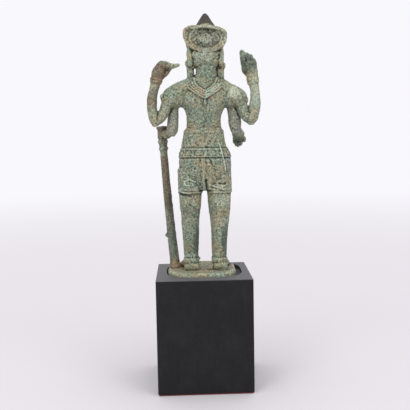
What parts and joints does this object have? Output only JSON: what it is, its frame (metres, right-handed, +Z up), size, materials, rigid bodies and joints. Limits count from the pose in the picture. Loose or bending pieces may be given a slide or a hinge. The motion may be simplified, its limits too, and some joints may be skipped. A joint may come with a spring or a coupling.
{
  "type": "deity statue",
  "caption": "Standing four-armed deity cast in bronze with a mace, conch and disc, set in the top of a black wooden block with a felt pad under it.",
  "frame": {"origin": "middle of the felt pad's underside", "axes": "+Z up, the figure faces -Y, its left side with the mace is at +X"},
  "size_m": [0.0846, 0.07, 0.2773],
  "materials": {
    "bronze": "weathered bronze with a mottled green and brown patina",
    "black_wood": "matte black paint on wood",
    "red_felt": "thin red felt"
  },
  "bodies": {
    "root": {"bronze_figure": "bronze", "wood_plinth": "black_wood", "felt_pad": "red_felt"}
  },
  "joints": []
}
